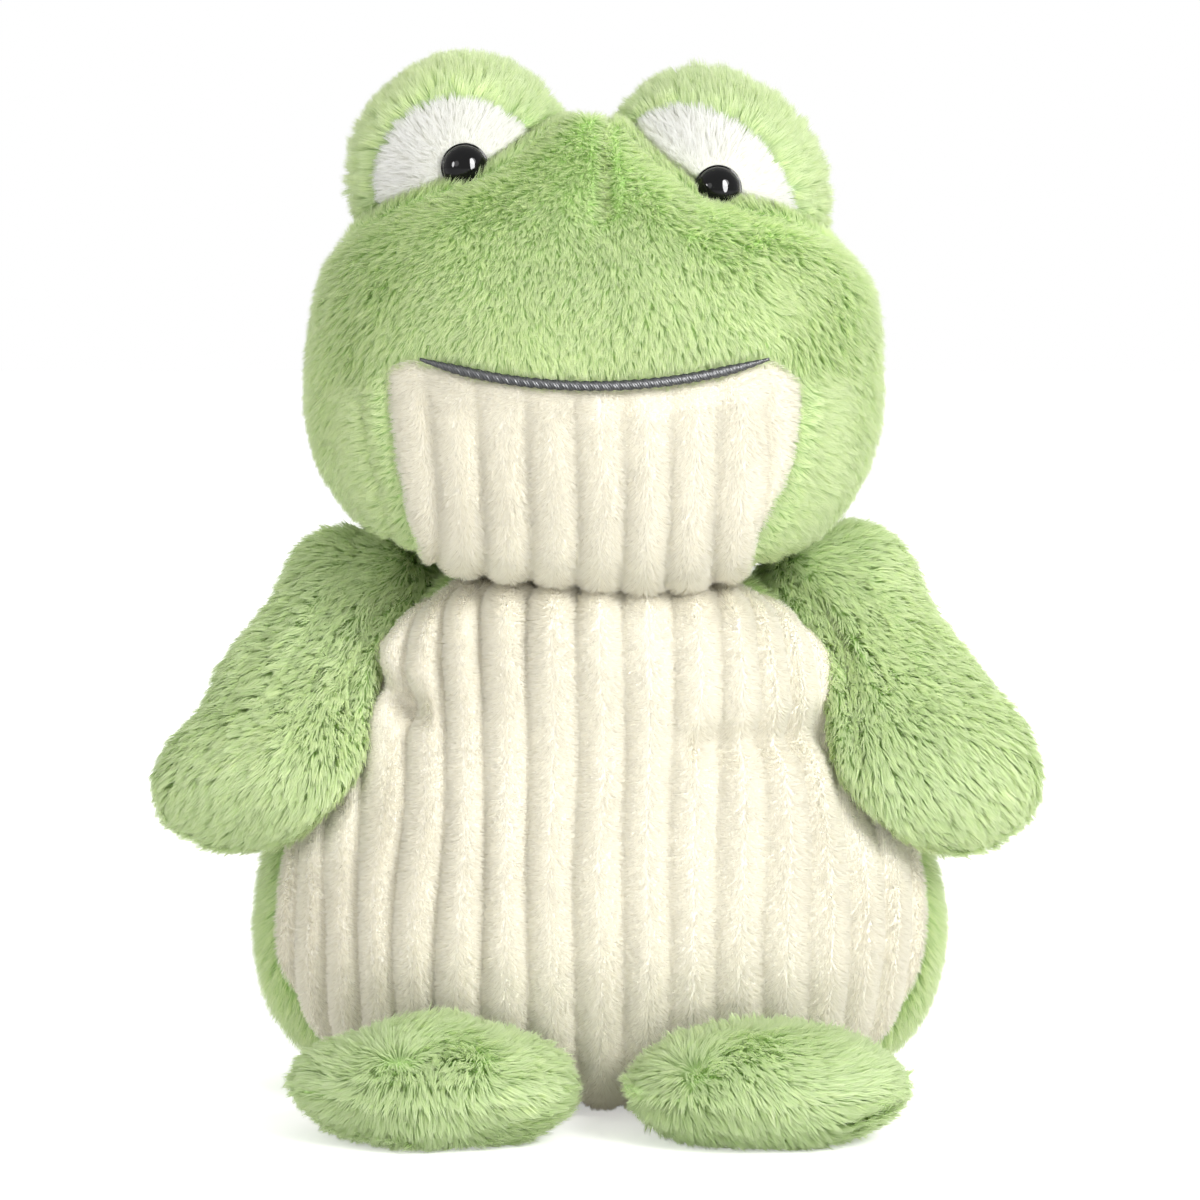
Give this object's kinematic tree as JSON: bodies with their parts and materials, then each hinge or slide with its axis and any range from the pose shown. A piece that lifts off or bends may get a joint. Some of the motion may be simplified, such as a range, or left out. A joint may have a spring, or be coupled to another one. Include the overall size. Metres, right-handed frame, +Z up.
{
  "type": "plush frog toy",
  "caption": "Sitting plush frog with a wide head, raised eye mounds, ribbed cream chin and belly, soft arms and flat feet, stuffed and jointed at neck, shoulders and feet",
  "frame": {"origin": "centre of the flat underside of the base panel, on the surface that the toy sits on", "axes": "+Z up, -Y the way the toy faces, +X its own left side"},
  "size_m": [0.2384, 0.1724, 0.284],
  "materials": {
    "green_plush": "light green long-pile plush, brushed, lighter at the tips",
    "cream_plush": "cream short-pile plush woven in wide upright ribs",
    "white_plush": "white short-pile plush",
    "mouth_satin": "dark grey satin-stitched cord",
    "eye_plastic": "polished black moulded plastic",
    "washer_plastic": "off-white moulded plastic",
    "fibre_fill": "loose polyester fibre",
    "pellet_cloth": "plain woven bag cloth"
  },
  "bodies": {
    "torso": {"belly_panel": "cream_plush", "body_back_left": "green_plush", "body_back_right": "green_plush", "base_panel": "green_plush", "pellet_bag": "pellet_cloth", "body_stuffing": "fibre_fill"},
    "neck": {"neck_stuffing": "fibre_fill"},
    "head": {"chin_panel": "cream_plush", "mouth_piping": "mouth_satin", "head_front": "green_plush", "head_back_left": "green_plush", "head_back_right": "green_plush", "head_stuffing": "fibre_fill", "eye_mound_left": "green_plush", "eye_white_left": "white_plush", "eye_left": "eye_plastic", "eye_washer_left": "washer_plastic", "eye_mound_stuffing_left": "fibre_fill", "eye_mound_right": "green_plush", "eye_white_right": "white_plush", "eye_right": "eye_plastic", "eye_washer_right": "washer_plastic", "eye_mound_stuffing_right": "fibre_fill"},
    "shoulder_left": {"arm_seam_left": "green_plush"},
    "arm_left": {"arm_front_left": "green_plush", "arm_back_left": "green_plush", "arm_stuffing_left": "fibre_fill"},
    "shoulder_right": {"arm_seam_right": "green_plush"},
    "arm_right": {"arm_front_right": "green_plush", "arm_back_right": "green_plush", "arm_stuffing_right": "fibre_fill"},
    "foot_left": {"foot_top_left": "green_plush", "foot_sole_left": "green_plush", "foot_stuffing_left": "fibre_fill"},
    "foot_right": {"foot_top_right": "green_plush", "foot_sole_right": "green_plush", "foot_stuffing_right": "fibre_fill"}
  },
  "joints": [
    {"name": "head_nod", "type": "hinge", "parent": "torso", "child": "neck", "pos_m": [-0.0035, 0.002, 0.145], "axis": [1, 0, 0], "range_deg": [-8, 9], "stiffness_Nm_per_rad": 0.6},
    {"name": "head_turn", "type": "hinge", "parent": "neck", "child": "head", "pos_m": [-0.0035, 0.002, 0.145], "axis": [0, 0, 1], "range_deg": [-15, 15], "stiffness_Nm_per_rad": 0.4},
    {"name": "arm_left_swing", "type": "hinge", "parent": "torso", "child": "shoulder_left", "pos_m": [0.063, 0.008, 0.1315], "axis": [-1, 0, 0], "range_deg": [0, 45], "stiffness_Nm_per_rad": 0.03},
    {"name": "arm_left_raise", "type": "hinge", "parent": "shoulder_left", "child": "arm_left", "pos_m": [0.063, 0.008, 0.1315], "axis": [0, -1, 0], "range_deg": [0, 32], "stiffness_Nm_per_rad": 0.03},
    {"name": "arm_right_swing", "type": "hinge", "parent": "torso", "child": "shoulder_right", "pos_m": [-0.063, 0.008, 0.1315], "axis": [-1, 0, 0], "range_deg": [0, 45], "stiffness_Nm_per_rad": 0.03},
    {"name": "arm_right_raise", "type": "hinge", "parent": "shoulder_right", "child": "arm_right", "pos_m": [-0.063, 0.008, 0.1315], "axis": [0, 1, 0], "range_deg": [0, 32], "stiffness_Nm_per_rad": 0.03},
    {"name": "foot_left_flex", "type": "hinge", "parent": "torso", "child": "foot_left", "pos_m": [0.044, -0.064, 0.014], "axis": [-1, 0, 0], "range_deg": [-10, 14], "stiffness_Nm_per_rad": 0.3},
    {"name": "foot_right_flex", "type": "hinge", "parent": "torso", "child": "foot_right", "pos_m": [-0.044, -0.064, 0.014], "axis": [-1, 0, 0], "range_deg": [-10, 14], "stiffness_Nm_per_rad": 0.3}
  ]
}
